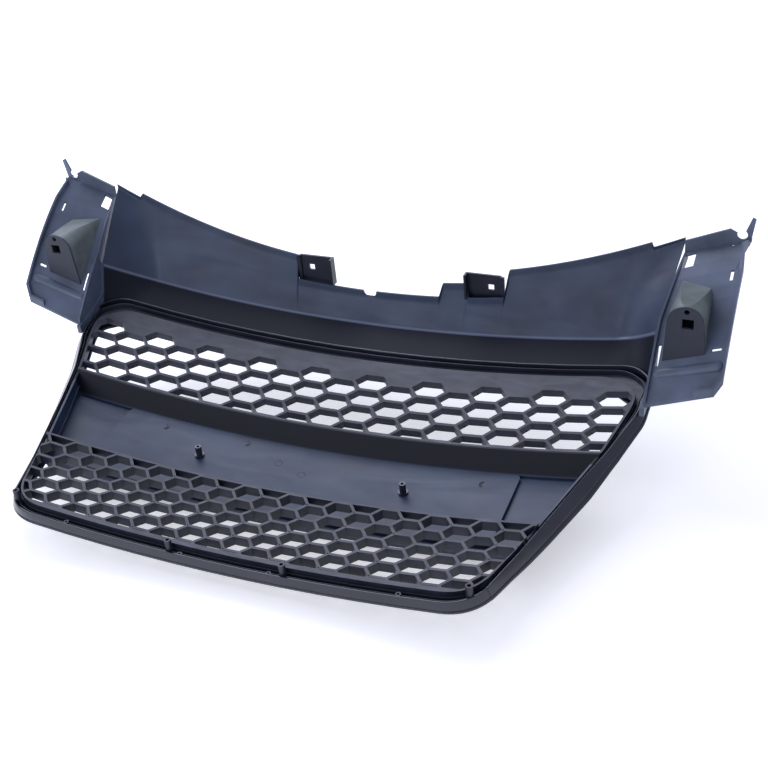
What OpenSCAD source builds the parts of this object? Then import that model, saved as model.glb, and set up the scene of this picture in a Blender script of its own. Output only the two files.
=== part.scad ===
// Front grille for a car: a shield of two honeycomb inserts with a number-plate panel between
// them, a closing panel above and a wing at each side that meets the headlamps.
// +Z is up, -Y is the front of the car and +X is the car's left. The origin is midway between
// the mouths of the two number-plate screw holes, on the plane of symmetry.

/* [Body] */
// Radius of the bow of the whole grille, seen from above
bow_r = 2170; // [1800:10:3000]
// Wall thickness of the mouldings
wall = 2.8; // [2:0.1:4]

/* [Shield] */
// Half width of the shield at its top corners
shield_top_x = 383; // [376:1:386]
// Half width of the shield halfway up, at the number plate
shield_mid_x = 341; // [335:1:345]
// Half width of the shield at the start of its bottom corners
shield_low_x = 298; // [292:1:304]
// Flare of the glossy ring from its back edge to its front
flare = 15; // [8:1:18]
// Depth of the surround, front to back
surround_d = 16; // [14:0.5:20]

/* [Number plate panel] */
// Width of the raised plate seat
seat_w = 530; // [520:1:540]
// Height of the raised plate seat
seat_h = 116; // [110:1:118]
// Step of the plate seat behind the panel
seat_step = 4; // [3:0.5:6]
// Distance between the two plate screw holes
plate_holes = 273.6; // [240:0.1:300]
// Pilot bore of a plate nut
plate_bore = 4; // [3:0.1:5]

/* [Upper insert] */
// Distance between its cell columns
upper_pitch = 38.8; // [34:0.1:44]
// Distance between its cell rows
upper_row = 25.6; // [22:0.1:30]
// Depth of its cells
upper_depth = 9; // [6:0.5:14]

/* [Lower insert] */
// Distance between its cell columns
lower_pitch = 29.3; // [26:0.1:34]
// Distance between its cell rows
lower_row = 23.5; // [21:0.1:27]
// Depth of its cells
lower_depth = 12; // [9:0.5:20]
// Width of the bars of both inserts
bar = 3.5; // [2.5:0.1:4.5]

/* [Fixings] */
// Bore of the screw posts
post_bore = 4.2; // [3:0.1:5]
// Outer diameter of the screw posts
post_d = 8; // [7:0.1:9]
// Side of the square clip holes
clip_hole = 8; // [6:0.5:9]

/* [Hidden] */
$fn = 48;

// The origin sits this far from the centre of the plate seat's sides
origin_y = 17;
origin_z = 13.8;

shell_black = "#2b2f38";
mesh_black = "#33373f";
gloss_black = "#15171b";
clip_grey = "#5b5f66";

function bow(x) = bow_r - sqrt(bow_r * bow_r - x * x);

module in_frame() { translate([0, origin_y, origin_z]) children(); }

// An outline in X and Z, stretched along Y from y0 to y1
module along_y(y0, y1) {
    translate([0, y1, 0]) rotate([90, 0, 0]) linear_extrude(y1 - y0) children();
}

// An outline in Y and Z, stretched along X from x0 to x1
module along_x(x0, x1) {
    translate([x0, 0, 0]) rotate([90, 0, 90]) linear_extrude(x1 - x0) children();
}

// A section in Y and Z swept along the bow of the grille
module swept(section, half_angle = 10.4) {
    translate([0, bow_r, 0]) rotate([0, 0, -90 - half_angle])
        rotate_extrude(angle = 2 * half_angle, $fn = 720)
            polygon([for (p = section) [bow_r - p.x, p.y]]);
}

// A band between two copies of a line of [y, z] points, moved back by `back` and forward by `front`
module band(line, back, front) {
    swept(concat([for (p = line) [p.x + back, p.y]],
                 [for (i = [len(line) - 1:-1:0]) [line[i].x - front, line[i].y]]));
}

// One solid through a list of rings of 3-D points. Each ring is a strip: the first half of its
// points runs along one face of the wall and the second half comes back along the other.
module loft(rings) {
    n = len(rings[0]);
    m = len(rings);
    pts = [for (r = rings) for (p = r) p];
    sides = [for (i = [0:m - 2]) for (j = [0:n - 1])
        let (k = (j + 1) % n) each [
            [i * n + j, i * n + k, (i + 1) * n + k],
            [i * n + j, (i + 1) * n + k, (i + 1) * n + j]]];
    cap = [for (i = [0:n / 2 - 2]) each [[i, i + 1, n - 2 - i], [i, n - 2 - i, n - 1 - i]]];
    start = [for (f = cap) [f[2], f[1], f[0]]];
    end = [for (f = cap) [for (j = f) (m - 1) * n + j]];
    polyhedron(pts, concat(sides, start, end), convexity = 6);
}

// A loft whose last ring joins its first
module closed_loft(rings) {
    n = len(rings[0]);
    m = len(rings);
    pts = [for (r = rings) for (p = r) p];
    sides = [for (i = [0:m - 1]) for (j = [0:n - 1])
        let (k = (j + 1) % n, o = ((i + 1) % m) * n) each [
            [i * n + j, i * n + k, o + k],
            [i * n + j, o + k, o + j]]];
    polyhedron(pts, sides, convexity = 10);
}

// ---- Lines of the surround, the panel and the wings ----

// Rear face of the surround on the plane of symmetry, from the bottom to the top
RIM = [[0, -240], [0, -110], [12, 60], [42, 171], [47, 189.5]];
// Rear face of the plate panel
PANEL = [[-26.8, -140], [-11.4, 38.4]];

// Points of a closed outline whose corners are eased by curves of `n` steps that start `ease`
// before each corner, with `m` more points on each straight stretch
function eased(pts, ease, n = 8, m = 0) = let (k = len(pts)) [for (i = [0:k - 1])
    let (a = pts[(i + k - 1) % k], b = pts[i], c = pts[(i + 1) % k], d = pts[(i + 2) % k],
         p = b + ease[i] * (a - b) / norm(a - b), q = b + ease[i] * (c - b) / norm(c - b),
         next = c + ease[(i + 1) % k] * (b - c) / norm(b - c))
    each concat([for (j = [0:n]) let (t = j / n)
                    (1 - t) * (1 - t) * p + 2 * t * (1 - t) * b + t * t * q],
                m > 0 ? [for (j = [1:m]) q + (next - q) * j / (m + 1)] : [])];

// Share of the full flare and of the extra depth of the ring at height z
function flare_at(z) =
    flare * lookup(z, [[-199, 0.2], [-155, 0.5], [0, 1], [62, 0.8], [112, 0.65], [187, 0.45]]);
function depth_at(z) = surround_d + 5 * lookup(z, [[-140, 0], [-80, 0.8], [0, 1], [62, 0]]);

// Left half of each outline in X and Z, from the bottom up, with how much each corner is eased
REAR = [[shield_low_x - 12, -199], [shield_low_x, -155], [shield_mid_x, 0], [361, 62],
        [380, 112], [shield_top_x, 166], [shield_top_x - 21, 187]];
FRONT = [for (p = REAR) [p.x + flare_at(p.y), p.y < -190 ? p.y - 0.5 : p.y > 180 ? p.y + 2 : p.y]];
INSERT = [[284, -186], [292, -157], [292 + 61 * 145 / 211, -12], [353, 54], [371.6, 122],
          [372.5, 143], [340, 168]];
EASE = [38, 16, 20, 20, 10, 11, 18];

function both_sides(half) = concat(half, [for (i = [len(half) - 1:-1:0]) [-half[i].x, half[i].y]]);
function outline(half, n = 8, m = 0) =
    eased(both_sides(half), concat(EASE, [for (i = [6:-1:0]) EASE[i]]), n, m);

// Half width of the inserts at height z
function side_x(z) = lookup(z, [for (p = INSERT) [p.y, p.x]]);

// The stretch between two heights, down to `inset` inside the sides of the inserts
module field(z0, z1, inset) {
    polygon(both_sides([for (z = [z0, z1]) [side_x(z) - inset, z]]));
}

module insert_field() { polygon(outline(INSERT)); }

module between(z0, z1) {
    intersection() {
        children();
        translate([-450, z0]) square([900, z1 - z0]);
    }
}

// Hexagon cell, wider than it is high, with its points to the left and right
module cell(pitch, row) {
    slant = norm([pitch / 3, row / 2]);
    point = 2 * pitch / 3 - bar * slant / row;
    flat = point - pitch / 3 * (1 - bar / row);
    top = row / 2 - bar / 2;
    polygon([[point, 0], [flat, top], [-flat, top], [-point, 0], [-flat, -top], [flat, -top]]);
}

// Columns of cells from the middle out, with each second column half a row higher
module cells(pitch, row, columns, rows, z_first, z_top) {
    for (c = [-columns:columns]) {
        z_c = z_first + (c % 2 == 0 ? 0 : row / 2);
        for (r = [0:rows - 1])
            if (z_c + r * row < z_top)
                translate([c * pitch, z_c + r * row]) cell(pitch, row);
    }
}

// ---- Honeycomb inserts ----

UPPER_Z = [54, 172];
LOWER_Z = [-190, -69];
upper_first_z = 134 - 3.5 * upper_row;
lower_first_z = -189;

module upper_outline() { between(UPPER_Z[0], UPPER_Z[1]) insert_field(); }

module lower_outline() { between(LOWER_Z[0], LOWER_Z[1]) insert_field(); }

module upper_insert() {
    color(mesh_black) in_frame() intersection() {
        along_y(-40, 120) difference() {
            upper_outline();
            intersection() {
                offset(delta = -3) upper_outline();
                cells(upper_pitch, upper_row, 9, 5, upper_first_z, 136);
            }
        }
        band(RIM, 0, upper_depth);
    }
}

module lower_insert() {
    color(mesh_black) in_frame() intersection() {
        along_y(-40, 120) difference() {
            lower_outline();
            intersection() {
                offset(delta = -2.5) lower_outline();
                cells(lower_pitch, lower_row, 11, 6, lower_first_z, -60);
                translate([-450, -179.5]) square([900, 200]);
            }
        }
        band(RIM, 3, lower_depth - 3);
    }
}

// ---- Number plate panel ----

module seat_outline(inset = 0) {
    offset(r = 8 - inset, $fn = 32) offset(delta = -8)
        translate([-seat_w / 2, 37 - seat_h]) square([seat_w, seat_h]);
}

module plate_panel() {
    color(shell_black) in_frame() difference() {
        intersection() {
            along_y(-60, 120) field(-92, 54, 0.2);
            union() {
                band(PANEL, -seat_step, wall + seat_step);
                intersection() {
                    along_y(-60, 80) seat_outline();
                    band(PANEL, 0, wall + seat_step);
                }
                // the wall that joins the panel to the lower edge of the upper insert
                swept([[-12.6, 36], [11.6, 51.2], [11.6, 53.7], [9, 53.7], [-14.6, 40],
                       [-17.8, 39.5], [-17.8, 36]]);
                // side walls, which reach back to the surround
                difference() {
                    band(RIM, -2, 28);
                    along_y(-60, 120) field(-156, 54, 0.2 + wall);
                }
            }
        }
        intersection() {
            along_y(-80, 80) seat_outline(wall);
            band(PANEL, -wall, 30);
        }
        for (s = [-1, 1])
            translate([s * plate_holes / 2, 0, -origin_z]) rotate([90, 0, 0])
                cylinder(d = nut_d + 0.6, h = 120, center = true);
    }
}

// Hollow nuts pushed through the plate panel, with a collar behind it
nut_d = 8;
nut_collar_d = 12;
nut_h = 15;

module plate_nuts() {
    seat_y = bow(plate_holes / 2) - 15.5 - 0.108 * origin_z;
    color(gloss_black) in_frame()
        for (s = [-1, 1])
            translate([s * plate_holes / 2, -origin_y, -origin_z]) rotate([-90, 0, 0])
                difference() {
                    union() {
                        cylinder(d = nut_d, h = seat_y + origin_y + nut_h);
                        translate([0, 0, seat_y + origin_y + 0.6])
                            cylinder(d = nut_collar_d, h = 3);
                    }
                    translate([0, 0, -1]) cylinder(d = plate_bore, h = 40);
                }
}

// ---- Surround ----

floor_back = -9;
post_tip = 12.5;
// The bores of the posts are blind and stop just above the low rib
bore_end = -0.4;
POSTS = [[70.8, -192.2], [279.5, -182.4]];

// Depth of the surround's rear face on the plane of symmetry, at height z
function rim_y(z) = lookup(z, [for (p = RIM) [p.y, p.x]]);
function rim_point(p, back) = [p.x, rim_y(p.y) + bow(p.x) + back, p.y];

// The channel behind the trim: its floor, a low rib and the wall round the inserts
module surround_frame() {
    n = 6;
    m = 5;
    outer = outline(REAR, n, m);
    inner = outline(INSERT, n, m);
    foot = floor_back - 2.5;
    color(shell_black) in_frame() closed_loft([for (i = [0:len(outer) - 1]) let (
        w = norm(inner[i] - outer[i]), d = (inner[i] - outer[i]) / w,
        rib = 2.7 + 0.25 * (w - 5.1),
        at = function(inset, back) rim_point(outer[i] + d * inset, back)) [
        at(2.7, foot), at(2.7, floor_back), at(rib, floor_back), at(rib, -2), at(rib + 1, -2),
        at(rib + 1, floor_back), at(w - 2, floor_back), at(w - 2, -3), at(w - 0.4, -3),
        at(w - 0.4, foot)]]);
}

// Hollow screw posts that stand on the floor of the channel
module frame_posts() {
    color(shell_black) in_frame()
        for (s = [-1, 1]) for (p = POSTS)
            translate([s * p.x, bow(p.x) + floor_back, p.y]) rotate([-90, 0, 0])
                difference() {
                    cylinder(d = post_d, h = post_tip - floor_back);
                    translate([0, 0, bore_end - floor_back]) cylinder(d = post_bore, h = 40);
                }
}

// The glossy ring: a flared flank with a groove near its front, a front face and an inner lip
module trim_ring() {
    n = 6;
    m = 5;
    rear = outline(REAR, n, m);
    front = outline(FRONT, n, m);
    inner = outline(INSERT, n, m);
    color(gloss_black) in_frame() closed_loft([for (i = [0:len(rear) - 1]) let (
        r = rear[i], f = front[i], u = inner[i], d = depth_at(r.y),
        at = function(t, inset) let (p = r + (f - r) * t) p + (u - p) / norm(u - p) * inset) [
        rim_point(at(0, 0), 0),
        rim_point(at(0.66, 0), -0.66 * d),
        rim_point(at(0.68, 1), -0.68 * d),
        rim_point(at(0.76, 1), -0.76 * d),
        rim_point(at(0.78, 0), -0.78 * d),
        rim_point(at(1, 0), -d),
        rim_point(f + (u - f) * 1.2, -d - 1),
        rim_point(f + (u - f) * 1.2, -d + 2),
        rim_point(at(0.7, 2.6), -d + 2),
        rim_point(at(0, 2.2), 0)]]);
}

// Hollow studs of the trim ring, which stand in line with the rib of the channel
STUDS = [[55.4, -196.3], [205.8, -194.2]];

module trim_studs() {
    color(gloss_black) in_frame()
        for (s = [-1, 1]) for (p = STUDS)
            translate([s * p.x, bow(p.x) + floor_back, p.y]) rotate([-90, 0, 0])
                difference() {
                    cylinder(d = 6, h = -floor_back);
                    translate([0, 0, 2]) cylinder(d = 3, h = 20);
                }
}

// ---- Upper panel ----

end_x = 383;
wing_in_x = 396;

// Distance along the turned-down ends of the ridge, from 0 to 1
function end_turn(x) = pow(max(0, (abs(x) - 325) / (end_x - 325)), 1.6);
function ridge_y(x) = 55 + bow(x) + 34 * end_turn(x);
function ridge_z(x) = 234 - 45 * end_turn(x);
function top_y(x) = 110.4 + 0.000562 * x * x;
function top_z(x) = 264.5 + 0.00009 * x * x;

// The top of the panel is cut down between the brackets, with a step at one side
CUT_X = [-173, -124, -88, 112];
notch_x = 8;
notch_r = 9;
flange_d = 10;

// Share of the panel's height that is left at x
function panel_share(x) = x < CUT_X[0] || x > CUT_X[3] ? 1
    : x > CUT_X[1] && x < CUT_X[2] ? 0.8 : 0.53;

// Depth of the top flange at x, with its half-round notch
function flange(x) = abs(x - notch_x) >= notch_r ? flange_d
    : flange_d - sqrt(notch_r * notch_r - pow(x - notch_x, 2));

// Closed section of the panel at x: wall over the channel, ridge, panel and top flange
function panel_section(x) = let (
    drop = 0.0128 * pow(max(0, abs(x) - 345), 2),
    base = [bow(x) + 45 - drop / 2, 188.4 - drop],
    ridge = [ridge_y(x), max(ridge_z(x), 189)],
    wide = x * wing_in_x / end_x,
    top = ridge + ([top_y(wide), top_z(wide)] - ridge) * panel_share(x),
    low = abs(x) > 350 ? 3 : 0,
    edge = top + [flange(x) - 2 * low, 1 - low]) [
    [x, base.x, base.y],
    [x, ridge.x, ridge.y],
    [wide, top.x, top.y],
    [wide, edge.x, edge.y],
    [wide, edge.x, edge.y + wall],
    [wide, top.x - 2, top.y + wall - low],
    [x, ridge.x - 3, ridge.y + wall],
    [x, base.x - wall, base.y + 1]];

module upper_panel() {
    step = end_x / 20;
    edge_gap = 0.2;
    notch = [for (a = [-90:15:90]) notch_x + notch_r * sin(a)];
    ends = [for (i = [0:6]) 325 + (end_x - 325) * i / 6];
    stations = concat([for (i = [6:-1:0]) -ends[i]], [for (i = [-16:-10]) step * i],
                      [for (i = [0:2]) each [CUT_X[i] - edge_gap, CUT_X[i] + edge_gap]],
                      [for (i = [-4:-1]) step * i], notch, [for (i = [2:5]) step * i],
                      [CUT_X[3] - edge_gap, CUT_X[3] + edge_gap],
                      [for (i = [7:16]) step * i], ends);
    color(shell_black) in_frame() loft([for (x = stations) panel_section(x)]);
}

// ---- Wings ----

wing_skew = 17.74;

// Rear face of the wing, at its inner edge
function wing_y(z) = 70 + 1.08 * (z - 116.5) - 0.0021 * pow(z - 116.5, 2);

// The space behind the wing's rear face (or, with a negative depth, in front of it)
module wing_slab(y_back, y_front) {
    zs = [for (i = [0:12]) 100 + 15 * i];
    translate([392, 0, 0]) rotate([0, 0, wing_skew]) along_x(-60, 140)
        polygon(concat([for (z = zs) [wing_y(z) * cos(wing_skew) + y_back, z]],
                       [for (i = [12:-1:0]) [wing_y(zs[i]) * cos(wing_skew) - y_front, zs[i]]]));
}

module wing_outline() {
    polygon([[385.5, 117], [462, 119], [470, 128], [470, 232], [467, 256], [474, 276], [466, 275],
             [460, 268], [452, 266], [447, 272], [398, 273], [385, 189]]);
}

module wing_cuts() {
    // window at the top
    polygon([[398.5, 265], [411.5, 266.5], [411, 248.5], [398, 247.5]]);
    // slots for the bumper's snap hooks
    translate([458, 229]) square([3.5, 12], center = true);
    translate([457, 157]) square([10, 3.5], center = true);
    translate([392.5, 159]) square([3, 20], center = true);
}

module wing() {
    color(shell_black) in_frame() {
        intersection() {
            along_y(0, 320) difference() {
                wing_outline();
                wing_cuts();
            }
            wing_slab(0, wall);
        }
        // outer rim, which stands behind the plate
        intersection() {
            along_y(0, 320) difference() {
                wing_outline();
                translate([-2.6, 2]) wing_outline();
                translate([380, 90]) square([60, 200]);
                translate([380, 262]) square([100, 20]);
            }
            wing_slab(7, 0.1);
        }
        wing_flange();
        wing_web();
    }
}

// Wall along the wing's inner edge, which reaches forward to the closing panel and the surround
module wing_web() {
    thick = 2.6;
    intersection() {
        along_y(0, 320) polygon([[385, 100], [385 + thick, 100], [385 + thick, 189],
                                 [398 + thick, 273], [398, 273], [385, 189]]);
        along_x(380, 405) polygon(concat([for (z = [118:15.5:273]) [wing_y(z) + 3, z]],
            [[178, 273], [114, 186], [84, 177], [76, 166], [66, 130], [64, 118]]));
    }
}

// Top flange of the wing, with the horn and the half-round notch at its outer end
module wing_flange() {
    translate([0, 0, 270]) difference() {
        linear_extrude(wall) polygon([[397, 187], [447, 203], [461, 201], [470, 203], [475, 236],
                                      [471, 238], [462, 214], [447, 222], [397, 202]]);
        translate([461, 216, -1]) cylinder(r = 6, h = 10);
    }
}

module wing_left() { wing(); }
module wing_right() { mirror([1, 0, 0]) wing(); }

// ---- Towers that carry the headlamp brackets ----

TOWER_Z = [153, 236];

module arch(inset = 0) {
    r = 20.5 - inset;
    hull() {
        translate([421.5, 160.5]) circle(r);
        translate([395 + inset, 60]) square([53 - 2 * inset, 10]);
    }
}

module tower() {
    color(shell_black) in_frame() difference() {
        translate([0, 0, TOWER_Z[0]]) intersection() {
            linear_extrude(TOWER_Z[1] - TOWER_Z[0]) arch();
            along_x(380, 460) polygon([[60, 0], [181.5, 0], [170, 83], [60, 83]]);
        }
        translate([0, 0, TOWER_Z[0] + wall]) intersection() {
            linear_extrude(TOWER_Z[1] - TOWER_Z[0]) arch(wall);
            along_x(380, 460) polygon([[60, 0], [178.4, 0], [166.9, 83], [60, 83]]);
        }
        wing_slab(0, 160);
        translate([423, 175, 140]) cylinder(d = 6, h = 30);
        translate([424.5, 160, 150]) cube([13, 12, 30], center = true);
    }
}

module tower_left() { tower(); }
module tower_right() { mirror([1, 0, 0]) tower(); }

// ---- Top brackets ----

rim_z = 250;

// A level tab with a square clip hole, a wall down to the panel and a side wall
module bracket(x0, x1, side_x, hole_x) {
    tab_z = 262;
    y0 = 94;
    y1 = 132;
    hole_y = 115;
    color(shell_black) in_frame() {
        difference() {
            translate([x0, y0, tab_z]) cube([x1 - x0, y1 - y0, wall]);
            translate([hole_x, hole_y, tab_z]) cube([clip_hole, clip_hole, 10], center = true);
        }
        translate([x0, y0, rim_z + 4]) cube([x1 - x0, wall, tab_z - rim_z - 3]);
        translate([side_x, y0, rim_z + 4]) cube([wall, y1 - y0, tab_z - rim_z - 3]);
    }
}

module bracket_left() { bracket(62, 111, 62, 95); }
module bracket_right() { bracket(-172, -124, -124 - wall, -158); }

// ---- Clips on the outer wall of the surround ----

module edge_clip() {
    color(clip_grey) in_frame()
        translate([381.5, bow(end_x) + 14, 118]) difference() {
            cube([3, 12, 18]);
            translate([-1, 3, 5]) cube([5, 6, 8]);
        }
}

module edge_clip_left() { edge_clip(); }
module edge_clip_right() { mirror([1, 0, 0]) edge_clip(); }

upper_panel();
wing_left();
wing_right();
tower_left();
tower_right();
bracket_left();
bracket_right();
upper_insert();
lower_insert();
plate_panel();
plate_nuts();
surround_frame();
frame_posts();
trim_ring();
trim_studs();
edge_clip_left();
edge_clip_right();
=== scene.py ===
"""Looks for the front grille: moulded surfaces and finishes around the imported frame.

Lengths in the shapes are millimetres measured from the centre of the plate seat's sides, with +X
to the car's left, +Y to the rear and +Z up; `place` turns them into the frame's metres.
"""

import math

import bmesh
import bpy
import numpy as np
from mathutils import Matrix, Vector


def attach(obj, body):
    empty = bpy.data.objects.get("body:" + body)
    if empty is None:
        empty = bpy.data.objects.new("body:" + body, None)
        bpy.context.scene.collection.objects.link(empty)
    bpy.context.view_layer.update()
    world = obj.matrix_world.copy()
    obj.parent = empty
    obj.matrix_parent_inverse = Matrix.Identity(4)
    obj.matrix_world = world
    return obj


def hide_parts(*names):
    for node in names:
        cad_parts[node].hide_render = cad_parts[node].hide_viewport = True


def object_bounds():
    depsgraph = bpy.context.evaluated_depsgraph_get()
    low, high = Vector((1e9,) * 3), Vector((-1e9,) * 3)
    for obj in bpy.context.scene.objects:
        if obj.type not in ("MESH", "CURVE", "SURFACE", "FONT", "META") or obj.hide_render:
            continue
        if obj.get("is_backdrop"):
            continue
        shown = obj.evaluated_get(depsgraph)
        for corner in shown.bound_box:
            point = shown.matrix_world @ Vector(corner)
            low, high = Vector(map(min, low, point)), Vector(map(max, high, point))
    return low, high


bl_info = {
    "name": "Front grille looks",
    "version": (1, 0, 0),
    "blender": (4, 5, 0),
    "location": "View3D > Sidebar > Grille",
    "description": "Builds the moulded surfaces, finishes, light and camera of a front grille",
    "category": "Object",
}

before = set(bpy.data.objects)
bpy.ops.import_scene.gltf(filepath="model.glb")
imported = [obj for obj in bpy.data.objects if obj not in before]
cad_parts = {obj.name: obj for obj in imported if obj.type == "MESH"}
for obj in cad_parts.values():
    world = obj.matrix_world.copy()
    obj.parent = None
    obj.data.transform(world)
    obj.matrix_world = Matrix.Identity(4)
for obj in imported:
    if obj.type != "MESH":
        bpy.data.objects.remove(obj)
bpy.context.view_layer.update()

MM = 0.001
# From the frame's origin, between the plate nuts' mouths, to the centre of the plate seat
SEAT_CENTRE = np.array([0.0, 17.0, 13.8])
# Radius of the bow of the whole grille, seen from above
BOW_R = 2170.0
# Edges that turn more than this stay sharp on smooth pieces
SHARP_DEG = 38
# Each side's name, and the sign of its X
SIDES = (("left", 1), ("right", -1))
# Heights of the lower faces of the towers, and of the shelf over the plate panel
TOWER_FACE_Z = 153.0
SHELF_Z = 36.5
# The rear face of the plate panel's seat, as Y at Z
SEAT_Z, SEAT_Y = [-140, 38.4], [-26.8, -11.4]


# ---- Shapes as functions -------------------------------------------------------------------


def bow(x):
    """Depth of a circle of radius BOW_R behind its foremost point, at a distance x to the side."""
    return BOW_R - np.sqrt(BOW_R**2 - np.asarray(x, float) ** 2)


def place(points):
    """Shape millimetres to frame metres: add the seat's centre, then scale."""
    return (np.asarray(points, float) + SEAT_CENTRE) * MM


def towards(a, b):
    """Unit vectors from points a to points b, and the distances."""
    gap = b - a
    length = np.linalg.norm(gap, axis=-1, keepdims=True)
    return gap / length, length


def rounded(path, radii, steps=6):
    """Each corner b of a closed path, with neighbours a and c, becomes the curve
    (1-t)^2 p + 2t(1-t) b + t^2 q, where p and q lie the corner's radius from b towards a and c.
    `path` is a list of arrays (..., D)."""
    out = []
    t = np.linspace(0.0, 1.0, steps)
    for i, (b, radius) in enumerate(zip(path, radii)):
        a, c = path[i - 1], path[(i + 1) % len(path)]
        p, q = b + radius * towards(b, a)[0], b + radius * towards(b, c)[0]
        k = t.reshape((-1,) + (1,) * b.ndim)
        out.append((1 - k) ** 2 * p + 2 * k * (1 - k) * b + k**2 * q)
    return np.concatenate(out)


def add_mesh(name, verts, faces, smooth=True):
    """A mesh object from vertex and face arrays. A smooth one keeps its sharp edges."""
    mesh = bpy.data.meshes.new(name)
    mesh.from_pydata(verts.tolist(), [], faces.tolist())
    mesh.update()
    obj = bpy.data.objects.new(name, mesh)
    bpy.context.collection.objects.link(obj)
    mesh.polygons.foreach_set("use_smooth", np.full(len(mesh.polygons), smooth))
    if smooth:
        mesh.set_sharp_from_angle(angle=math.radians(SHARP_DEG))
    return obj


def mark(obj, name, values):
    """Puts one number for each point on a piece, for its material to read."""
    numbers = obj.data.attributes.new(name, "FLOAT", "POINT")
    numbers.data.foreach_set("value", np.ravel(values).astype(np.float32))


def tube(name, grid, closed=False, smooth=True):
    """Skins a grid of points (stations, ring, 3). The ring always wraps; the stations wrap for a closed
    piece, and otherwise each end is capped by strips from one half of its ring to the other. Where
    the volume, the sum of a . (b x c + c x d) over faces abcd, is negative, the faces are turned."""
    stations, ring = grid.shape[:2]
    index = np.arange(stations * ring).reshape(stations, ring)
    far = np.roll(index, -1, axis=0) if closed else index[1:]
    near = index if closed else index[:-1]
    faces = np.stack([near, far, np.roll(far, -1, axis=1), np.roll(near, -1, axis=1)], -1)
    faces = faces.reshape(-1, 4)
    if not closed:
        half = np.arange(ring // 2 - 1)
        cap = np.stack([half, half + 1, ring - 2 - half, ring - 1 - half], -1)
        faces = np.concatenate([faces, cap, index[-1][cap][:, ::-1]])
    verts = place(grid.reshape(-1, 3))
    a, b, c, d = verts[faces].transpose(1, 0, 2)
    if np.sum(a * (np.cross(b, c) + np.cross(c, d))) < 0:
        faces = faces[:, ::-1]
    return add_mesh(name, verts, faces, smooth)


# ---- Outlines of the shield ----------------------------------------------------------------

# Half outlines in X and Z, from the bottom up: the rear edge of the ring, and the inserts' edge
REAR = np.array([[286, -199], [298, -155], [341, 0], [361, 62], [380, 112], [383, 166], [362, 187]], float)
INSERT = np.array(
    [[284, -186], [292, -157], [333.92, -12], [353, 54], [371.6, 122], [372.5, 143], [340, 168]], float
)
# How far the ring's front stands out from its rear, at each height
FLARE_Z = [-199, -155, 0, 62, 112, 187]
FLARE = [3, 7.5, 15, 12, 9.75, 6.75]
# The usual depth of the ring, and how much deeper it is at each height
RING_DEPTH = 16
DEPTH_Z = [-140, -80, 0, 62]
EXTRA_DEPTH = [0, 4, 5, 0]
# How far each corner of a half outline is eased
EASE = [38, 16, 20, 20, 10, 11, 18]
# The ring's rear face on the plane of symmetry, as Y at Z
RIM_Z = [-240, -110, 60, 171, 189.5]
RIM_Y = [0, 0, 12, 42, 47]


def front_outline():
    """The rear outline moved out by the flare, with the bottom and top moved by a little."""
    lift = np.where(REAR[:, 1] < -190, -0.5, np.where(REAR[:, 1] > 180, 2.0, 0.0))
    return REAR + np.stack([np.interp(REAR[:, 1], FLARE_Z, FLARE), lift], -1)


def whole_outline(half, steps=14, between=10):
    """A half outline and its mirror image, with eased corners and `between` points on each straight."""
    path = np.concatenate([half, half[::-1] * [-1, 1]])
    ease = np.array(EASE + EASE[::-1], float)
    corners = rounded(list(path), ease, steps).reshape(len(path), steps, 2)
    nxt = np.roll(corners[:, 0], -1, axis=0)
    share = (np.arange(1, between + 1) / (between + 1))[None, :, None]
    straight = corners[:, -1][:, None] + (nxt - corners[:, -1])[:, None] * share
    return np.concatenate([corners, straight], axis=1).reshape(-1, 2)


def on_rim(points, back):
    """Points (..., 2) in X and Z, put at the depth of the surround's rear face there plus `back`."""
    x, z = points[..., 0], points[..., 1]
    return np.stack([x, np.interp(z, RIM_Z, RIM_Y) + bow(x) + back, z], -1)


# ---- Materials -----------------------------------------------------------------------------


def linear(hex_colour, alpha=1.0):
    """An sRGB hex colour as linear red, green, blue and alpha."""
    value = np.array([int(hex_colour[i : i + 2], 16) for i in (1, 3, 5)]) / 255
    lin = np.where(value <= 0.04045, value / 12.92, ((value + 0.055) / 1.055) ** 2.4)
    return (*lin.tolist(), alpha)


def node(tree, kind, settings=None, inputs=None, links=None):
    """Adds a node with its properties, socket values and links {input: output socket}."""
    new = tree.nodes.new(kind)
    for key, value in (settings or {}).items():
        setattr(new, key, value)
    for key, value in (inputs or {}).items():
        new.inputs[key].default_value = value
    for key, socket in (links or {}).items():
        tree.links.new(socket, new.inputs[key])
    return new


def noise(tree, where, inputs):
    """The output socket of a noise texture at the places that the socket `where` gives."""
    return node(tree, "ShaderNodeTexNoise", inputs=inputs, links={"Vector": where}).outputs["Fac"]


def fresh_material(name):
    """A new material with an empty node tree."""
    made = bpy.data.materials.new(name)
    made.use_nodes = True
    made.node_tree.nodes.clear()
    return made


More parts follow.
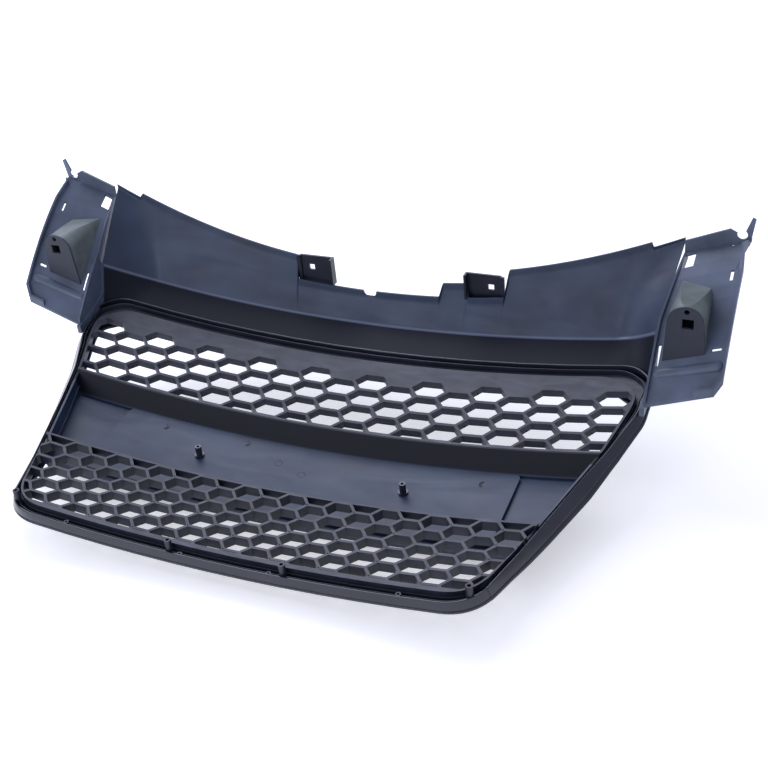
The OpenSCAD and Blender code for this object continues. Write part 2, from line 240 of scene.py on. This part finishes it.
def moulded_plastic(name, dark, light, rough, grain_mm, sheen_mm, bump=0.15, specular=0.5):
    """Injection-moulded plastic: a base colour that drifts between two tones over `sheen_mm`, flow
    marks stretched along the grille, and a spark-eroded grain of `grain_mm` in the bump."""
    made = fresh_material(name)
    tree = made.node_tree
    where = node(tree, "ShaderNodeTexCoord").outputs["Object"]
    drift = noise(tree, where, {"Scale": 1 / (sheen_mm * MM), "Detail": 3.0})
    stretched = node(tree, "ShaderNodeMapping", inputs={"Scale": (1.0, 3.0, 4.0)}, links={"Vector": where})
    size = {"Scale": 1 / (2.2 * sheen_mm * MM), "Detail": 4.0, "Distortion": 1.4}
    flow = noise(tree, stretched.outputs["Vector"], size)
    grain = noise(tree, where, {"Scale": 1 / (grain_mm * MM), "Detail": 2.0})
    tone = node(tree, "ShaderNodeValToRGB", links={"Fac": drift})
    for stop, position, colour in zip(tone.color_ramp.elements, (0.3, 0.7), (dark, light)):
        stop.position, stop.color = position, linear(colour)
    gloss = node(
        tree,
        "ShaderNodeMapRange",
        inputs={"From Min": 0.3, "From Max": 0.7, "To Min": rough - 0.05, "To Max": rough + 0.07},
        links={"Value": flow},
    ).outputs["Result"]
    relief = node(
        tree, "ShaderNodeBump", inputs={"Strength": bump, "Distance": 0.2 * MM}, links={"Height": grain}
    )
    shader = node(
        tree,
        "ShaderNodeBsdfPrincipled",
        inputs={"IOR": 1.53, "Specular IOR Level": specular},
        links={"Base Color": tone.outputs["Color"], "Roughness": gloss, "Normal": relief.outputs["Normal"]},
    )
    node(tree, "ShaderNodeOutputMaterial", links={"Surface": shader.outputs["BSDF"]})
    return made


def textured_abs(props):
    # Black ABS from a finely grained tool: soft blue-grey reflection with faint flow marks
    return moulded_plastic("textured black ABS", props.panel_dark, props.panel_light, 0.46, 0.9, 60)


def blended(made, share, tone, rough, specular):
    """Where the socket `share` is 1, the plastic takes its own tone, roughness and specular level."""
    tree = made.node_tree
    shader = next(n for n in tree.nodes if n.type == "BSDF_PRINCIPLED")
    colour = shader.inputs["Base Color"].links[0].from_socket
    mixed = node(tree, "ShaderNodeMix", {"data_type": "RGBA"}, links={0: share, 6: colour})
    mixed.inputs[7].default_value = linear(tone)
    tree.links.new(mixed.outputs[2], shader.inputs["Base Color"])
    gloss = shader.inputs["Roughness"].links[0].from_socket
    eased = node(tree, "ShaderNodeMix", inputs={3: rough}, links={0: share, 2: gloss})
    tree.links.new(eased.outputs[0], shader.inputs["Roughness"])
    level = shader.inputs["Specular IOR Level"]
    before = level.links[0].from_socket if level.links else None
    shine = node(tree, "ShaderNodeMix", inputs={2: level.default_value, 3: specular}, links={0: share})
    if before:
        tree.links.new(before, shine.inputs[2])
    tree.links.new(shine.outputs[0], level)
    return made


def height_share(made, none_z, full_z):
    """A socket that goes from 0 at the height `none_z` to 1 at `full_z`."""
    tree = made.node_tree
    where = next(n for n in tree.nodes if n.type == "TEX_COORD").outputs["Object"]
    height = node(tree, "ShaderNodeSeparateXYZ", links={"Vector": where}).outputs["Z"]
    limits = {"From Min": (none_z + SEAT_CENTRE[2]) * MM, "From Max": (full_z + SEAT_CENTRE[2]) * MM}
    return node(tree, "ShaderNodeMapRange", inputs=limits, links={"Value": height}).outputs["Result"]


def ridge_abs(props):
    """Textured ABS with painted shade on the wall under the ridge (a darker tone, weaker specular) and a
    painted highlight along the ridge itself (a lighter tone): the piece's own numbers for the wall and the
    ridge say where."""
    made = textured_abs(props)
    made.name = "textured ABS with painted wall shade and ridge highlight"
    tree = made.node_tree
    # Painted shade darkens the wall under the ridge, and a painted highlight lightens the ridge
    wall = node(tree, "ShaderNodeAttribute", {"attribute_name": "wall"}).outputs["Fac"]
    ridge_highlight = node(tree, "ShaderNodeAttribute", {"attribute_name": "ridge_highlight"}).outputs["Fac"]
    return blended(blended(made, wall, props.wall_shade_tone, 0.5, 0.16), ridge_highlight, props.ridge_highlight_tone, 0.35, 0.5)


def panel_abs(props):
    """Satin ABS that takes a darker tone, a rougher finish and a lower specular level above a step in
    height, over the shelf."""
    made = moulded_plastic(
        "satin panel ABS", props.panel_dark, props.panel_light, 0.4, 0.8, 70, specular=0.36
    )
    return blended(made, height_share(made, SHELF_Z - 1, SHELF_Z + 1), props.shelf, 0.5, 0.2)


def satin_abs(props):
    # Black ABS from a smoother tool: darker, with tighter highlights on its edges
    return moulded_plastic("satin black ABS", props.satin_dark, props.satin_light, 0.4, 0.8, 40)


def wing_abs(props):
    # Textured ABS of the wings, where the grain is coarser and reflects a little more
    return moulded_plastic("textured wing ABS", props.wing_dark, props.wing_light, 0.42, 1.0, 45)


def tower_abs(props):
    """Worn ABS of the towers: their backs have gone a little green and grey, and their tone is lightened
    further as painted light on their tops; their lower faces keep the darker satin tone."""
    made = moulded_plastic("faded tower ABS with painted light", props.tower_dark, props.tower_light, 0.4, 0.8, 30)
    low = height_share(made, TOWER_FACE_Z + 3, TOWER_FACE_Z + 1)
    return blended(made, low, props.satin_light, 0.45, 0.4)


def grille_abs(props):
    # ABS of the honeycombs: satin, a little greyer on its faces
    return moulded_plastic("honeycomb black ABS", props.mesh_dark, props.mesh_light, 0.44, 0.7, 25)


def pit_shade():
    # Painted shade in the blind pits left by ejector pins: near-black stubs, just proud of the surface,
    # stand in for the dark where no light comes back out of them
    return moulded_plastic("painted pit shade", "#040405", "#08080a", 0.8, 0.6, 5, bump=0.0, specular=0.1)


def high_gloss_abs(props):
    # Piano-black ABS from a polished tool: deep black with sharp reflections
    return moulded_plastic("gloss black ABS", props.gloss_dark, props.gloss_light, 0.2, 0.5, 80, bump=0.03)


def natural_acetal(props):
    # Grey acetal clips: plain, slightly waxy
    return moulded_plastic("grey acetal", props.clip_dark, props.clip_light, 0.5, 0.8, 10)


def finish_piece(obj, material):
    """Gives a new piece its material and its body."""
    obj.data.materials.clear()
    obj.data.materials.append(material)
    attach(obj, "root")
    return obj


def finish_node(name, material):
    """Gives a CAD node its better material."""
    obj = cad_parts[name]
    for slot in obj.material_slots:
        slot.material = material
    if not obj.material_slots:
        obj.data.materials.append(material)


# ---- Pieces --------------------------------------------------------------------------------


def panel_grid():
    """Sections of the upper panel at stations along X. Each runs from the channel up a wall to the
    ridge, back along the panel to the top flange, and returns inside by the wall thickness. The
    panel's height share follows smooth steps at the brackets, and a circle is cut from the flange."""
    end = 383.0
    wall = 2.8
    notch_x, notch_r = 8.0, 9.0
    fine = [np.linspace(c - 4, c + 4, 17) for c in (-173, -124, -88, 112)]
    fine += [np.linspace(notch_x - notch_r - 0.5, notch_x + notch_r + 0.5, 41), np.linspace(-352, -345, 9)]
    fine += [np.linspace(345, 352, 9), np.linspace(-end, end, 240)]
    x = np.unique(np.round(np.concatenate(fine), 3))

    def step(centre):
        t = np.clip((x - centre) / 5.0 + 0.5, 0, 1)
        return t * t * (3 - 2 * t)

    share = 1 - 0.47 * step(-173) + 0.27 * step(-124) - 0.27 * step(-88) + 0.47 * step(112)
    turn = np.clip((np.abs(x) - 325) / (end - 325), 0, None) ** 1.6
    ridge_y, ridge_z = 55 + bow(x) + 34 * turn, 234 - 45 * turn
    wide = x * 396 / end
    top_y = 110.4 + 0.000562 * wide**2
    top_z = 264.5 + 0.00009 * wide**2
    ty, tz = ridge_y + (top_y - ridge_y) * share, ridge_z + (top_z - ridge_z) * share
    low = 3.0 * np.clip((np.abs(x) - 345) / 3.0, 0, 1)
    cut = np.sqrt(np.clip(notch_r**2 - (x - notch_x) ** 2, 0, None))
    flange = 10 - cut - 2 * low
    drop = 0.0128 * np.clip(np.abs(x) - 345, 0, None) ** 2
    base_y, base_z = bow(x) + 45 - drop / 2, 188.4 - drop
    crown_y, crown_z = (ridge_y + ty) / 2, (ridge_z + tz) / 2 - 3.0 * share
    path = [
        np.stack([x, base_y, base_z], -1),
        np.stack([x, ridge_y, ridge_z], -1),
        np.stack([(x + wide) / 2, crown_y, crown_z + 1.4], -1),
        np.stack([wide, ty, tz], -1),
        np.stack([wide, ty + flange, tz + 1 - low], -1),
        np.stack([wide, ty + flange, tz + 1 + wall - low], -1),
        np.stack([wide, ty - 2, tz + wall - low], -1),
        np.stack([(x + wide) / 2, crown_y - 2, crown_z + wall + 1.4], -1),
        np.stack([x, ridge_y - 3, ridge_z + wall], -1),
        np.stack([x, base_y - wall, base_z + 1], -1),
    ]
    radii = [0.4, 3.5, 20, 4.0, 0.7, 0.7, 1.5, 20, 2.0, 0.4]
    return rounded(path, radii, 6).transpose(1, 0, 2)


def trim_grid():
    """The ring's section at each outline point: its flank runs from the rear outline to the flared
    front outline with a groove near the front, turns over a rounded edge, and returns inside."""
    rear, front, inner = whole_outline(REAR), whole_outline(front_outline()), whole_outline(INSERT)
    depth = RING_DEPTH + np.interp(rear[:, 1], DEPTH_Z, EXTRA_DEPTH)

    def at(t, inset, back):
        point = rear + (front - rear) * t
        return on_rim(point + towards(point, inner)[0] * inset, back)

    lip = front + (inner - front) * 1.2
    path = [
        at(0, 0, 0 * depth),
        at(0.66, 0, -0.66 * depth),
        at(0.68, 1, -0.68 * depth),
        at(0.76, 1, -0.76 * depth),
        at(0.78, 0, -0.78 * depth),
        at(1, 0, -depth),
        on_rim(lip, -depth - 1),
        on_rim(lip, -depth + 2),
        at(0.7, 2.6, -depth + 2),
        at(0, 2.2, 0 * depth),
    ]
    return rounded(path, [0.7, 0.5, 0.3, 0.3, 0.5, 2.2, 0.9, 0.9, 0.3, 0.7], 5).transpose(1, 0, 2)


def channel_grid():
    """The surround's section: floor of the channel, a low rib and the lip round the inserts."""
    outer, inner = whole_outline(REAR), whole_outline(INSERT)
    way, gap = towards(outer, inner)
    rib = 2.7 + 0.25 * (gap - 5.1)

    def at(inset, back):
        return on_rim(outer + way * inset, back)

    path = [
        at(2.7, -11.5), at(2.7, -9), at(rib, -9), at(rib, -2), at(rib + 1, -2),
        at(rib + 1, -9), at(gap - 2, -9), at(gap - 2, -3), at(gap - 0.4, -3), at(gap - 0.4, -11.5),
    ]
    return rounded(path, [0.2, 0.1, 0.1, 0.3, 0.3, 0.3, 0.5, 0.5, 0.5, 0.2], 4).transpose(1, 0, 2)


def scatter(name, spots, normals, profile, turns=12):
    """Small turned pieces in one mesh: the (radius, height) profile is turned about each normal at
    each spot. A point is spot + radius (cos u e1 + sin u e2) + height n, on a grid of spots x
    profile x turn, and each piece is closed by its first and last rings, whose radius is zero."""
    spots, normals = np.asarray(spots, float), np.asarray(normals, float)
    normals = normals / np.linalg.norm(normals, axis=-1, keepdims=True)
    e1 = np.cross(normals, [0.0, 0.0, 1.0])
    e1 /= np.linalg.norm(e1, axis=-1, keepdims=True)
    e2 = np.cross(normals, e1)
    u = np.linspace(0, 2 * np.pi, turns, endpoint=False)
    radius, height = np.array(profile, float).T
    ring = np.cos(u)[:, None] * e1[:, None, :] + np.sin(u)[:, None] * e2[:, None, :]
    grid = (
        spots[:, None, None] + radius[None, :, None, None] * ring[:, None]
        + height[None, :, None, None] * normals[:, None, None]
    )
    count, rows = len(spots), len(profile)
    index = np.arange(count * rows * turns).reshape(count, rows, turns)
    near, far = index[:, :-1], index[:, 1:]
    faces = np.stack([near, np.roll(near, -1, 2), np.roll(far, -1, 2), far], -1).reshape(-1, 4)
    obj = add_mesh(name, place(grid.reshape(-1, 3)), faces)
    merged = bmesh.new()
    merged.from_mesh(obj.data)
    bmesh.ops.remove_doubles(merged, verts=merged.verts, dist=1e-6)
    bmesh.ops.recalc_face_normals(merged, faces=merged.faces)
    merged.to_mesh(obj.data)
    merged.free()
    return obj


def plate_rear(x, z):
    """Rear face of the plate panel's seat at X and Z."""
    return np.interp(z, SEAT_Z, SEAT_Y) + bow(x)


def dots():
    """Spots of two ejector circles and two small rings of dots on the plate seat."""
    turn = np.linspace(0, 2 * np.pi, 8, endpoint=False)
    rings = [
        np.stack([cx + 4.6 * np.cos(turn), np.zeros(8), cz + 4.6 * np.sin(turn)], -1)
        for cx, cz in ((35.0, 2.0), (-2.0, -10.0))
    ]
    spots = np.concatenate(rings)
    spots[:, 1] = plate_rear(spots[:, 0], spots[:, 2])
    return spots


def pit_spots(pitch, row, first_z, columns, rows, depth_z, depth_y, side):
    """Pits at the left ends of the bars between cells, in every second column."""
    c, r = np.meshgrid(np.arange(-columns, columns + 1, 2), np.arange(rows), indexing="ij")
    x = c.ravel() * pitch + pitch * 0.36
    z = first_z + r.ravel() * row + row / 2
    keep = np.abs(x) < np.interp(z, *side)
    return np.stack([x, np.interp(z, depth_z, depth_y) + bow(x), z], -1)[keep]


def roll_grid():
    """The roll under the left wing: an oval about 8 mm wide and 13 mm high, carried along the wing's
    lower edge, with both ends drawn in."""
    t = np.linspace(0, 1, 40)[:, None]
    start, end = np.array([388.0, 93.5, 144.5]), np.array([466.0, 119.5, 142.0])
    line = start + (end - start) * t
    radius = 5.5 * np.clip(np.minimum(t, 1 - t) * 25, 0.25, 1) ** 0.5
    along = (end - start) / np.linalg.norm(end - start)
    out = np.cross(along, [0.0, 0.62, 0.78])
    out /= np.linalg.norm(out)
    lift = np.cross(out, along)
    u = np.linspace(0, 2 * np.pi, 28, endpoint=False)[None, :, None]
    return line[:, None] + radius[:, None] * (np.cos(u) * out * 0.7 + np.sin(u) * lift * 1.15)


def apron_grid():
    """A strip that closes the gap between the ring and the left wing's inner wall: a rectangle, 6 mm
    wide and 11 mm deep, swept up the wall's front edge."""
    z = np.linspace(112, 192, 41)
    front = np.interp(z, [112, 130, 166, 177, 186, 192], [63, 66, 76, 84, 114, 120])
    corners = [(381.6, -6), (387.4, -6), (387.4, 5), (381.6, 5)]
    return np.stack([np.stack([np.full_like(z, x), front + y, z], -1) for x, y in corners], 1)


def lap_grid(x0, x1):
    """A lap from a bracket's tab to the raised panel beside it: a rectangle, 2.7 mm thick, swept
    along the tab's depth."""
    y = np.linspace(90, 131.8, 16)
    corners = [(x0, 259.5), (x1, 259.5), (x1, 262.2), (x0, 262.2)]
    return np.stack([np.stack([np.full_like(y, x), y, np.full_like(y, z)], -1) for x, z in corners], 1)


# ---- Settings ------------------------------------------------------------------------------


def colour_property(name, description, default):
    """A hex colour kept as text, so that it can be read and typed."""
    return bpy.props.StringProperty(name=name, description=description, default=default)


class GrilleLooks(bpy.types.PropertyGroup):
    """Colours and sizes of the grille's looks."""

    panel_dark: colour_property("Panel shade", "Darker tone of the textured panels", "#1f2b40")
    panel_light: colour_property("Panel tone", "Lighter tone of the textured panels", "#2e3f57")
    satin_dark: colour_property("Satin shade", "Darker tone of the satin mouldings", "#1a1e29")
    satin_light: colour_property("Satin tone", "Lighter tone of the satin mouldings", "#252a38")
    wing_dark: colour_property("Wing shade", "Darker tone of the wings", "#434c5b")
    wing_light: colour_property("Wing tone", "Lighter tone of the wings", "#5a667a")
    # The tower tones: faded green-grey, lightened further as painted light on the towers' tops
    tower_dark: colour_property("Tower shade", "Darker tone of the towers", "#59625f")
    tower_light: colour_property("Tower tone", "Lighter tone of the towers", "#767f7d")
    # The darker tone above the shelf's step in height
    shelf: colour_property("Shelf tone", "Tone of the polished shelf over the plate panel", "#11141c")
    # Painted shade: the dark tone of the wall under the ridge stands in for the shadow there
    wall_shade_tone: colour_property("Wall tone", "Tone of the polished wall under the ridge", "#141823")
    # Painted highlight: the light tone along the ridge stands in for the light caught by its rounded edge
    ridge_highlight_tone: colour_property("Ridge tone", "Tone of the rubbed ridge", "#70788c")
    mesh_dark: colour_property("Honeycomb shade", "Darker tone of the honeycombs", "#1d222d")
    mesh_light: colour_property("Honeycomb tone", "Lighter tone of the honeycombs", "#2c3240")
    gloss_dark: colour_property("Gloss shade", "Darker tone of the glossy ring", "#1d212a")
    gloss_light: colour_property("Gloss tone", "Lighter tone of the glossy ring", "#292e3a")
    clip_dark: colour_property("Clip shade", "Darker tone of the clips", "#50555d")
    clip_light: colour_property("Clip tone", "Lighter tone of the clips", "#62676f")


class GrilleStage(bpy.types.PropertyGroup):
    """Floor, light and camera."""

    floor_gap: bpy.props.FloatProperty(
        name="Floor gap", description="From the grille's front to the floor", default=0.001, unit="LENGTH"
    )
    focal_mm: bpy.props.FloatProperty(
        name="Focal length", description="Lens, on a sensor 36 mm wide", default=57.66, min=10
    )
    sky: bpy.props.FloatProperty(
        name="Sky", description="Strength of the even white light", default=0.55, min=0
    )
    key: bpy.props.FloatProperty(
        name="Key light", description="Power of the large soft light over the grille", default=30.0, min=0
    )
    floor_glow: bpy.props.FloatProperty(
        name="Floor glow", description="Light that the white floor gives off itself", default=0.45, min=0
    )


# ---- Operators -----------------------------------------------------------------------------


class GrilleOperator:
    """What the operators share: undo and the settings."""

    bl_options = {"REGISTER", "UNDO"}

    def looks(self, context):
        return context.scene.grille_looks


class OBJECT_OT_grille_panel(GrilleOperator, bpy.types.Operator):
    """Builds the upper closing panel and finishes the brackets at its top"""

    bl_idname = "object.grille_panel"
    bl_label = "Upper panel"

    def execute(self, context):
        looks = self.looks(context)
        skin = satin_abs(looks)
        grid = panel_grid()
        piece = finish_piece(tube("upper_panel_skin", grid), ridge_abs(looks))
        # Each corner of a section has 6 points: the first corner is the wall's foot, and the second,
        # whose middle is 8.5, is the ridge
        ring = np.tile(np.arange(grid.shape[1]), (grid.shape[0], 1))
        # The wall is marked for painted shade, and a narrow line along the ridge for a painted highlight
        mark(piece, "wall", ring < 7)
        mark(piece, "ridge_highlight", 0.9 * np.exp(-(((ring - 8.5) / 1.0) ** 2)))
        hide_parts("upper_panel")
        for side, inner, outer in (("left", 110.0, 115.5), ("right", -171.0, -176.5)):
            finish_node(f"bracket_{side}", skin)
            lap = tube(f"bracket_lap_{side}", lap_grid(inner, outer), smooth=False)
            finish_piece(lap, skin)
        return {"FINISHED"}


class OBJECT_OT_grille_wings(GrilleOperator, bpy.types.Operator):
    """Finishes the headlamp wings and their towers"""

    bl_idname = "object.grille_wings"
    bl_label = "Wings"

    def execute(self, context):
        looks = self.looks(context)
        plate, hood = wing_abs(looks), tower_abs(looks)
        for side, sign in SIDES:
            finish_node(f"wing_{side}", plate)
            finish_node(f"tower_{side}", hood)
            roll = tube(f"wing_roll_{side}", roll_grid() * [sign, 1, 1])
            finish_piece(roll, plate)
            apron = tube(f"wing_apron_{side}", apron_grid() * [sign, 1, 1], smooth=False)
            finish_piece(apron, plate)
        return {"FINISHED"}


class OBJECT_OT_grille_inserts(GrilleOperator, bpy.types.Operator):
    """Finishes the two honeycomb inserts"""

    bl_idname = "object.grille_inserts"
    bl_label = "Honeycomb inserts"

    def execute(self, context):
        looks = self.looks(context)
        skin = grille_abs(looks)
        for name in ("upper_insert", "lower_insert"):
            finish_node(name, skin)
        # Half width that the pits keep to, at each height
        side = ([-190, -157, 54, 122, 170], [270, 282, 345, 362, 362])
        upper = pit_spots(38.8, 25.6, 134 - 3.5 * 25.6, 9, 4, RIM_Z, RIM_Y, side)
        lower = pit_spots(29.3, 23.5, -189, 10, 5, RIM_Z, RIM_Y, side) + [0, 3, 0]
        for name, spots, lean in (("upper_pits", upper, -0.27), ("lower_pits", lower, -0.05)):
            profile = [(0, -1.2), (0.75, -1.2), (0.8, 0.12), (0, 0.12)]
            pits = scatter(name, spots, np.tile([0, 1, lean], (len(spots), 1)), profile, 10)
            # Painted shade: the pits' stubs are near black to stand in for the dark inside them
            finish_piece(pits, pit_shade())
        return {"FINISHED"}


class OBJECT_OT_grille_plate(GrilleOperator, bpy.types.Operator):
    """Finishes the number-plate panel and its nuts"""

    bl_idname = "object.grille_plate"
    bl_label = "Number-plate panel"

    def execute(self, context):
        looks = self.looks(context)
        finish_node("plate_panel", panel_abs(looks))
        finish_node("plate_nuts", high_gloss_abs(looks))
        spots = dots()
        profile = [(0, -0.6), (0.9, -0.6), (0.9, 0.25), (0.5, 0.45), (0, 0.5)]
        marks = scatter("plate_stamp_dots", spots, np.tile([0, 1, -0.09], (len(spots), 1)), profile, 10)
        finish_piece(marks, satin_abs(looks))
        discs = np.array([[-225.0, 0, 15.0], [90.0, 0, 24.0], [205.0, 0, 20.0]])
        discs[:, 1] = plate_rear(discs[:, 0], discs[:, 2])
        profile = [(0, -0.5), (5, -0.5), (5, 0.12), (4.4, 0.2), (4.2, 0.05), (0, 0.05)]
        rounds = scatter("ejector_marks", discs, np.tile([0, 1, -0.09], (len(discs), 1)), profile, 32)
        finish_piece(rounds, satin_abs(looks))
        return {"FINISHED"}


class OBJECT_OT_grille_surround(GrilleOperator, bpy.types.Operator):
    """Builds the channel and the glossy ring, and finishes their posts, studs and clips"""

    bl_idname = "object.grille_surround"
    bl_label = "Surround"

    def execute(self, context):
        looks = self.looks(context)
        satin, gloss, clip = satin_abs(looks), high_gloss_abs(looks), natural_acetal(looks)
        channel = finish_piece(tube("channel_skin", channel_grid(), closed=True), satin)
        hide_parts("surround_frame")
        ring = finish_piece(tube("trim_ring_skin", trim_grid(), closed=True), gloss)
        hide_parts("trim_ring")
        for name, skin in (("frame_posts", satin), ("trim_studs", satin)):
            finish_node(name, skin)
        for side, _ in SIDES:
            finish_node(f"edge_clip_{side}", clip)
        return {"FINISHED"}


class OBJECT_OT_grille_stage(GrilleOperator, bpy.types.Operator):
    """Adds the floor, the lights and the camera"""

    bl_idname = "object.grille_stage"
    bl_label = "Stage"

    def execute(self, context):
        stage = context.scene.grille_stage
        self.floor(stage)
        self.lights(context.scene, stage)
        self.camera(context.scene, stage)
        return {"FINISHED"}

    def floor(self, stage):
        """A pale floor under the grille's face, seen from the grille's side only."""
        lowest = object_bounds()[0][1] - stage.floor_gap
        side = 6.0
        grid = np.array([[-1, 0, -1], [-1, 0, 1], [1, 0, 1], [1, 0, -1]]) * side + [0, lowest, 0]
        floor = add_mesh("floor", grid, np.array([[0, 1, 2, 3]]), smooth=False)
        made = fresh_material("pale floor")
        tree = made.node_tree
        behind = node(tree, "ShaderNodeNewGeometry").outputs["Backfacing"]
        speck = node(tree, "ShaderNodeTexNoise", inputs={"Scale": 40.0})
        tone = node(tree, "ShaderNodeValToRGB", links={"Fac": speck.outputs["Fac"]})
        for stop, colour in zip(tone.color_ramp.elements, ("#fafafa", "#fdfdfe")):
            stop.color = linear(colour)
        white = {"Color": tone.outputs["Color"]}
        matt = node(tree, "ShaderNodeBsdfDiffuse", links=white)
        glow = node(tree, "ShaderNodeEmission", inputs={"Strength": stage.floor_glow}, links=white)
        paper = node(tree, "ShaderNodeAddShader")
        tree.links.new(matt.outputs["BSDF"], paper.inputs[0])
        tree.links.new(glow.outputs["Emission"], paper.inputs[1])
        clear = node(tree, "ShaderNodeBsdfTransparent")
        mix = node(tree, "ShaderNodeMixShader", links={"Fac": behind})
        tree.links.new(paper.outputs["Shader"], mix.inputs[1])
        tree.links.new(clear.outputs["BSDF"], mix.inputs[2])
        node(tree, "ShaderNodeOutputMaterial", links={"Surface": mix.outputs["Shader"]})
        floor.data.materials.append(made)
        floor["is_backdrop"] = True

    def lights(self, scene, stage):
        """An even white sky and large soft lights."""
        world = bpy.data.worlds.new("white studio")
        world.use_nodes = True
        sky = world.node_tree.nodes["Background"]
        sky.inputs["Color"].default_value = linear("#e4e8ff")
        sky.inputs["Strength"].default_value = stage.sky
        scene.world = world
        aim = Vector((0, 0.05, 0.05))
        # Name, place and width in metres, and share of the key light's power
        for name, spot, size, share in (
            ("key", (0.9, 1.6, 1.5), 1.7, 1.0),
            ("low fill", (0.9, 0.8, -1.9), 1.3, 0.4),
            ("side light", (2.0, 1.0, 0.1), 1.0, 0.45),
            ("front fill", (-0.8, -2.2, 0.8), 1.6, 0.7),
        ):
            data = bpy.data.lights.new(name, "AREA")
            data.size, data.energy = size, stage.key * share
            data.color = linear("#e9edff")[:3]
            lamp = bpy.data.objects.new(name, data)
            way = aim - Vector(spot)
            lamp.matrix_world = Matrix.Translation(spot) @ way.to_track_quat("-Z", "Y").to_matrix().to_4x4()
            bpy.context.collection.objects.link(lamp)

    def camera(self, scene, stage):
        """A camera behind, below and to the right of the grille, turned to look at its back."""
        data = bpy.data.cameras.new("camera")
        data.lens, data.sensor_width = stage.focal_mm, 36.0
        eye = bpy.data.objects.new("camera", data)
        right = Vector((-0.919, -0.092, 0.384)).normalized()
        forward = Vector((0.370, -0.541, 0.755))
        forward = (forward - right * forward.dot(right)).normalized()
        up = right.cross(forward)
        turn = Matrix((right, up, -forward)).transposed()
        eye.matrix_world = Matrix.Translation((-0.6272, 0.8866, -1.0204)) @ turn.to_4x4()
        bpy.context.collection.objects.link(eye)
        scene.camera = eye


class VIEW3D_PT_grille(bpy.types.Panel):
    """Settings and steps of the grille"""

    bl_label = "Front grille"
    bl_idname = "VIEW3D_PT_grille"
    bl_space_type = "VIEW_3D"
    bl_region_type = "UI"
    bl_category = "Grille"

    def draw(self, context):
        layout = self.layout
        for group in (context.scene.grille_looks, context.scene.grille_stage):
            column = layout.column()
            for name in group.__annotations__:
                column.prop(group, name)
        for step in STEPS:
            layout.operator(step.bl_idname)


GROUPS = (GrilleLooks, GrilleStage)
STEPS = (
    OBJECT_OT_grille_panel,
    OBJECT_OT_grille_wings,
    OBJECT_OT_grille_inserts,
    OBJECT_OT_grille_plate,
    OBJECT_OT_grille_surround,
    OBJECT_OT_grille_stage,
)


def register():
    for cls in (*GROUPS, *STEPS, VIEW3D_PT_grille):
        bpy.utils.register_class(cls)
    bpy.types.Scene.grille_looks = bpy.props.PointerProperty(type=GrilleLooks)
    bpy.types.Scene.grille_stage = bpy.props.PointerProperty(type=GrilleStage)


def unregister():
    del bpy.types.Scene.grille_looks, bpy.types.Scene.grille_stage
    for cls in reversed((*GROUPS, *STEPS, VIEW3D_PT_grille)):
        bpy.utils.unregister_class(cls)


def main():
    """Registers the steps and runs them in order."""
    register()
    bpy.context.scene.view_settings.view_transform = "Standard"
    bpy.ops.object.grille_panel()
    bpy.ops.object.grille_wings()
    bpy.ops.object.grille_inserts()
    bpy.ops.object.grille_plate()
    bpy.ops.object.grille_surround()
    bpy.ops.object.grille_stage()


if __name__ == "__main__":
    main()
